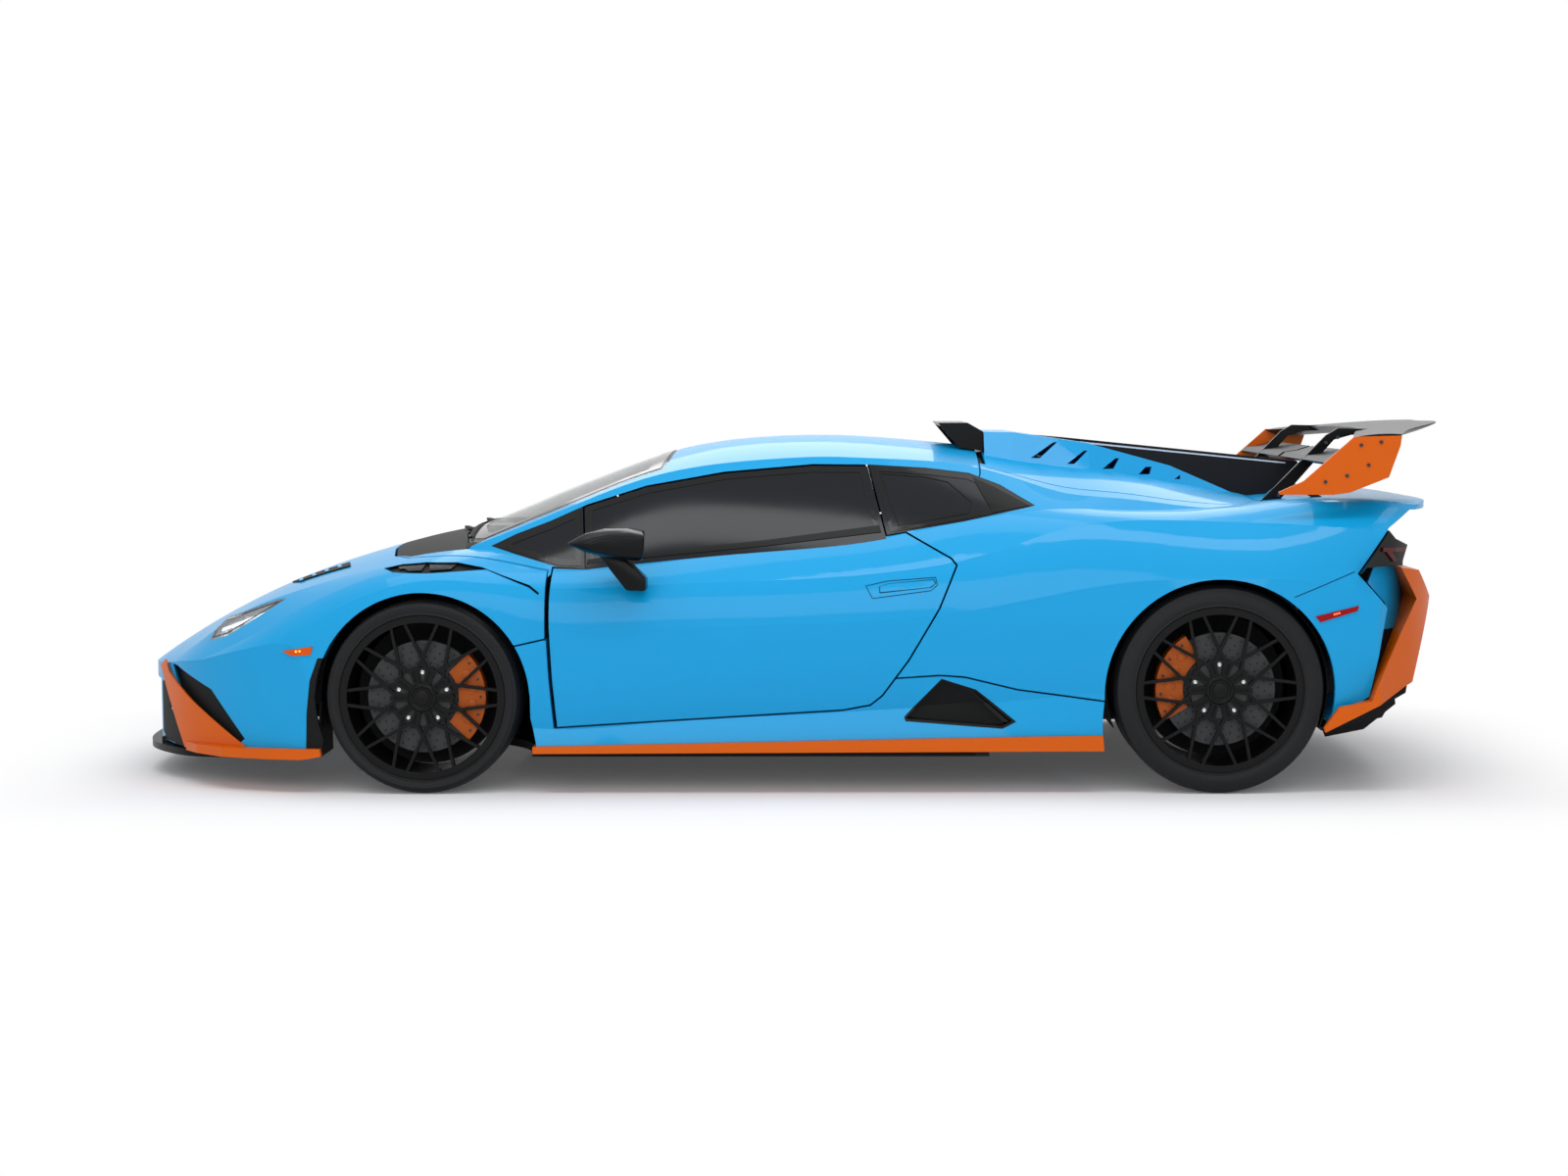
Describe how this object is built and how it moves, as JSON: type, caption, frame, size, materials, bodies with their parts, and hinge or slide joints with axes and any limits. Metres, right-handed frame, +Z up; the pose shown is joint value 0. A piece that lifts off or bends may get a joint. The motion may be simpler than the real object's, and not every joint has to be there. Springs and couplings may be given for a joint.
{
  "type": "supercar",
  "caption": "Low mid-engined two-seat supercar with hinged doors, tilting nose panel, lift-off engine cover, steered front wheels and a fixed rear wing.",
  "frame": {"origin": "on the ground, under the middle of the length and on the centre plane", "axes": "+X towards the tail, +Y towards the car's right side, +Z up"},
  "size_m": [4.5598, 2.17, 1.2104],
  "materials": {
    "body_paint": "gloss light blue paint with clear coat",
    "accent_paint": "satin orange paint",
    "gloss_black": "gloss black composite",
    "matte_black": "matt black moulded plastic",
    "dark_glass": "dark tinted glass",
    "windscreen_glass": "lightly tinted laminated glass",
    "lamp_clear": "clear lamp cover",
    "lamp_red": "red lamp cover",
    "tyre": "black rubber",
    "rim": "gloss black forged rim",
    "disc": "dark carbon ceramic friction ring",
    "caliper": "copper orange anodised caliper",
    "metal": "machined and cast alloy",
    "dark_metal": "dark coated steel and cast alloy",
    "trim_fabric": "black woven and suede-like trim",
    "exhaust": "heat-tinted steel"
  },
  "bodies": {
    "chassis": {"floor_pan": "matte_black", "front_bulkhead": "matte_black", "rear_bulkhead": "trim_fabric", "sills": "body_paint", "sill_blades": "accent_paint", "cowl": "matte_black", "roof": "body_paint", "windscreen": "windscreen_glass", "side_glass": "dark_glass", "quarter_panels": "body_paint", "rear_deck": "body_paint", "engine_block": "dark_metal", "rear_fascia": "matte_black", "rear_bumper_corners": "body_paint", "tail_lights": "gloss_black", "diffuser": "gloss_black", "rear_blades": "accent_paint", "exhaust": "exhaust", "wing_plane": "gloss_black", "wing_endplates": "accent_paint", "wing_pylons": "gloss_black", "front_subframe": "dark_metal", "rear_subframe": "dark_metal", "uprights_rear": "metal", "calipers_rear": "caliper", "seats": "trim_fabric", "dashboard": "matte_black", "wheel_liners": "matte_black", "side_intakes": "gloss_black"},
    "front_clamshell": {"front_clamshell": "body_paint", "headlights": "lamp_clear", "front_grilles": "matte_black", "splitter": "gloss_black", "front_blades": "accent_paint"},
    "engine_cover": {"engine_cover": "body_paint", "fin": "gloss_black", "snorkel": "gloss_black"},
    "door_left": {"door_left": "body_paint", "door_glass_left": "dark_glass", "mirror_left": "gloss_black"},
    "door_right": {"door_right": "body_paint", "door_glass_right": "dark_glass", "mirror_right": "gloss_black"},
    "knuckle_front_left": {"knuckle_front_left": "metal", "caliper_front_left": "caliper"},
    "knuckle_front_right": {"knuckle_front_right": "metal", "caliper_front_right": "caliper"},
    "steering_wheel": {"steering_wheel": "trim_fabric"},
    "wheel_front_left": {"tyre_front_left": "tyre", "rim_front_left": "rim", "disc_front_left": "disc"},
    "wheel_front_right": {"tyre_front_right": "tyre", "rim_front_right": "rim", "disc_front_right": "disc"},
    "wheel_rear_left": {"tyre_rear_left": "tyre", "rim_rear_left": "rim", "disc_rear_left": "disc"},
    "wheel_rear_right": {"tyre_rear_right": "tyre", "rim_rear_right": "rim", "disc_rear_right": "disc"}
  },
  "joints": [
    {"name": "door_left_open", "type": "hinge", "parent": "chassis", "child": "door_left", "pos_m": [-0.662, -0.903, 0.38], "axis": [0, 0, -1], "range_deg": [0, 62]},
    {"name": "door_right_open", "type": "hinge", "parent": "chassis", "child": "door_right", "pos_m": [-0.662, 0.903, 0.38], "axis": [0, 0, 1], "range_deg": [0, 62]},
    {"name": "front_clamshell_open", "type": "hinge", "parent": "chassis", "child": "front_clamshell", "pos_m": [-2.12, 0, 0.25], "axis": [0, -1, 0], "range_deg": [0, 38]},
    {"name": "engine_cover_lift", "type": "slide", "parent": "chassis", "child": "engine_cover", "axis": [0, 0, 1], "range_m": [0, 0.5]},
    {"name": "steer_left", "type": "hinge", "parent": "chassis", "child": "knuckle_front_left", "pos_m": [-1.188, -0.826, 0.32], "axis": [0, 0, 1], "range_deg": [-30, 30]},
    {"name": "steer_right", "type": "hinge", "parent": "chassis", "child": "knuckle_front_right", "pos_m": [-1.188, 0.826, 0.32], "axis": [0, 0, 1], "range_deg": [-30, 30]},
    {"name": "steering_wheel_turn", "type": "hinge", "parent": "chassis", "child": "steering_wheel", "pos_m": [-0.48, -0.37, 0.655], "axis": [0.9272, 0, 0.3746], "range_deg": [-390, 390]},
    {"name": "spin_front_left", "type": "hinge", "parent": "knuckle_front_left", "child": "wheel_front_left", "pos_m": [-1.188, -0.826, 0.32], "axis": [0, -1, 0], "continuous": true},
    {"name": "spin_front_right", "type": "hinge", "parent": "knuckle_front_right", "child": "wheel_front_right", "pos_m": [-1.188, 0.826, 0.32], "axis": [0, -1, 0], "continuous": true},
    {"name": "spin_rear_left", "type": "hinge", "parent": "chassis", "child": "wheel_rear_left", "pos_m": [1.432, -0.806, 0.342], "axis": [0, -1, 0], "continuous": true},
    {"name": "spin_rear_right", "type": "hinge", "parent": "chassis", "child": "wheel_rear_right", "pos_m": [1.432, 0.806, 0.342], "axis": [0, -1, 0], "continuous": true}
  ],
  "couplings": [
    {"joint": "steer_right", "follows": "steer_left", "ratio": 1},
    {"joint": "steering_wheel_turn", "follows": "steer_left", "ratio": 13}
  ]
}
